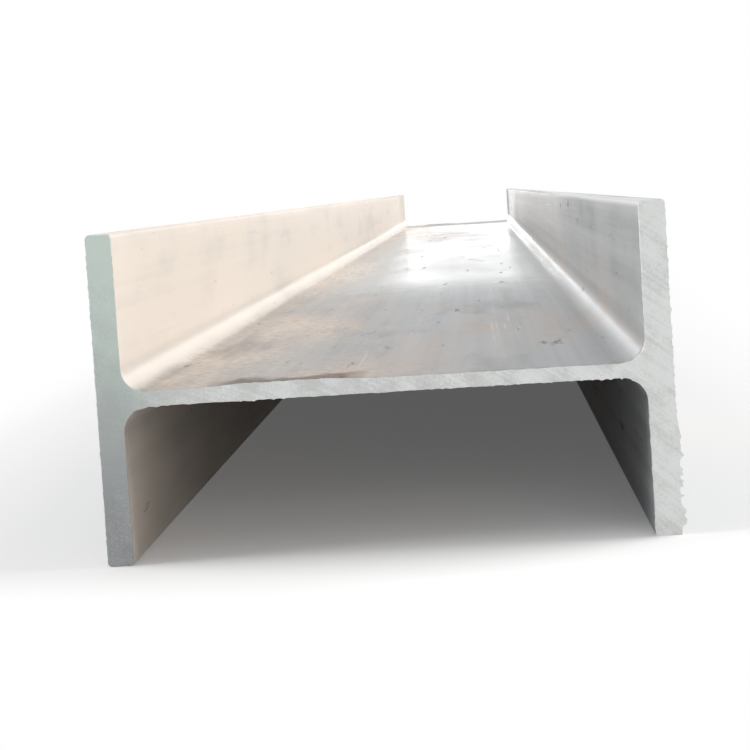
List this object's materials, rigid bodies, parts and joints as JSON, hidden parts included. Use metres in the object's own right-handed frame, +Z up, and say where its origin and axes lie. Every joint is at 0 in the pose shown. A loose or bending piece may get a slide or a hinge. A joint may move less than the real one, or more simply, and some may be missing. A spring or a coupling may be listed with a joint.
{
  "type": "steel h-beam",
  "caption": "Straight length of hot-rolled steel H-beam with parallel flanges, a thinner web, root fillets and square sawn ends, used as a column or girder.",
  "frame": {"origin": "on the floor under the middle of the beam, between the lower toes of the two flanges", "axes": "+X across the depth of the section, +Y along the beam away from the end that faces the viewer, +Z up the flanges"},
  "size_m": [0.354, 6, 0.205],
  "materials": {
    "rolled_steel": "satin"
  },
  "bodies": {
    "root": {"h_beam": "rolled_steel"}
  },
  "joints": []
}
